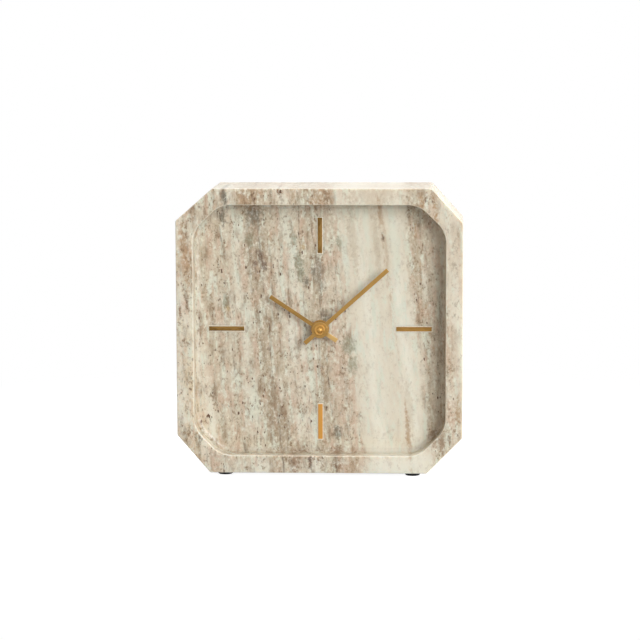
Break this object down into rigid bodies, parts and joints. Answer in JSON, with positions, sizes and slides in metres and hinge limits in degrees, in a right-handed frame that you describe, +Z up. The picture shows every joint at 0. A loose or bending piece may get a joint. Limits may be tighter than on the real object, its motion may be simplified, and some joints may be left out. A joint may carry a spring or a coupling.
{
  "type": "table clock",
  "caption": "Square marble table clock with cut corners, a sunk dial with brass hour bars and hands, and a battery quartz movement in a rear pocket.",
  "frame": {"origin": "centre of the clock's outline on the surface that the feet stand on, midway between the front and back faces", "axes": "+Z up, -Y the way the dial faces, +X to the viewer's right when looking at the dial"},
  "size_m": [0.15, 0.05, 0.152],
  "materials": {
    "marble": "honed",
    "brushed_brass": "satin brushed",
    "turned_brass": "turned",
    "pale_resin": "cured resin",
    "black_rubber": "matte",
    "case_plastic": "moulded black",
    "gear_plastic": "moulded natural",
    "motor_steel": "bright",
    "copper_wire": "enamelled",
    "circuit_board": "solder mask",
    "contact_metal": "nickel plated",
    "battery_can": "printed wrap"
  },
  "bodies": {
    "clock_case": {"marble_body": "marble", "hour_bar_12": "brushed_brass", "hour_bar_3": "brushed_brass", "hour_bar_6": "brushed_brass", "hour_bar_9": "brushed_brass", "bar_bedding_12": "pale_resin", "bar_bedding_3": "pale_resin", "bar_bedding_6": "pale_resin", "bar_bedding_9": "pale_resin", "foot_front_left": "black_rubber", "foot_front_right": "black_rubber", "foot_rear_left": "black_rubber", "foot_rear_right": "black_rubber", "bush_ring_nut": "turned_brass", "threaded_bush": "turned_brass", "rubber_washer": "black_rubber", "movement_base": "case_plastic", "movement_cover": "case_plastic", "middle_plate": "case_plastic", "stator": "motor_steel", "coil_core": "motor_steel", "coil_bobbin": "gear_plastic", "coil_winding": "copper_wire", "circuit_board": "circuit_board", "quartz_crystal": "contact_metal", "control_chip": "case_plastic", "positive_contact": "contact_metal", "negative_contact": "contact_metal"},
    "minute_hand": {"minute_hand": "brushed_brass", "minute_cap_nut": "turned_brass", "minute_arbor": "turned_brass"},
    "hour_hand": {"hour_hand": "brushed_brass", "hour_wheel": "turned_brass"},
    "motion_wheel": {"motion_wheel": "gear_plastic"},
    "setting_knob": {"setting_shaft": "gear_plastic", "setting_knob": "case_plastic"},
    "rotor": {"rotor": "motor_steel"},
    "intermediate_wheel": {"intermediate_wheel": "gear_plastic"},
    "seconds_wheel": {"seconds_wheel": "gear_plastic"},
    "third_wheel": {"third_wheel": "gear_plastic"},
    "centre_wheel": {"centre_wheel": "gear_plastic"},
    "battery": {"battery": "battery_can"}
  },
  "joints": [
    {"name": "minute_hand_turn", "type": "hinge", "parent": "clock_case", "child": "minute_hand", "pos_m": [0, 0, 0.0773], "axis": [0, 1, 0], "continuous": true},
    {"name": "hour_hand_turn", "type": "hinge", "parent": "clock_case", "child": "hour_hand", "pos_m": [0, 0, 0.0773], "axis": [0, 1, 0], "continuous": true},
    {"name": "motion_wheel_turn", "type": "hinge", "parent": "clock_case", "child": "motion_wheel", "pos_m": [0.00509, 0, 0.08239], "axis": [0, 1, 0], "continuous": true},
    {"name": "setting_knob_turn", "type": "hinge", "parent": "clock_case", "child": "setting_knob", "pos_m": [0.01319, 0, 0.08239], "axis": [0, 1, 0], "continuous": true},
    {"name": "rotor_turn", "type": "hinge", "parent": "clock_case", "child": "rotor", "pos_m": [0.00194, 0, 0.09223], "axis": [0, 1, 0], "continuous": true},
    {"name": "intermediate_wheel_turn", "type": "hinge", "parent": "clock_case", "child": "intermediate_wheel", "pos_m": [-0.00156, 0, 0.08616], "axis": [0, 1, 0], "continuous": true},
    {"name": "seconds_wheel_turn", "type": "hinge", "parent": "clock_case", "child": "seconds_wheel", "pos_m": [0, 0, 0.0773], "axis": [0, 1, 0], "continuous": true},
    {"name": "third_wheel_turn", "type": "hinge", "parent": "clock_case", "child": "third_wheel", "pos_m": [-0.0085, 0, 0.0773], "axis": [0, 1, 0], "continuous": true},
    {"name": "centre_wheel_turn", "type": "hinge", "parent": "clock_case", "child": "centre_wheel", "pos_m": [0, 0, 0.0773], "axis": [0, 1, 0], "continuous": true},
    {"name": "battery_slide", "type": "slide", "parent": "clock_case", "child": "battery", "axis": [0, 1, 0], "range_m": [0, 0.04]}
  ],
  "couplings": [
    {"joint": "hour_hand_turn", "follows": "minute_hand_turn", "ratio": 0.083333},
    {"joint": "motion_wheel_turn", "follows": "minute_hand_turn", "ratio": -0.33333},
    {"joint": "setting_knob_turn", "follows": "minute_hand_turn", "ratio": 0.66667},
    {"joint": "intermediate_wheel_turn", "follows": "rotor_turn", "ratio": -0.16667},
    {"joint": "seconds_wheel_turn", "follows": "rotor_turn", "ratio": 0.033333},
    {"joint": "third_wheel_turn", "follows": "rotor_turn", "ratio": -0.0044444},
    {"joint": "centre_wheel_turn", "follows": "rotor_turn", "ratio": 0.00055556}
  ]
}
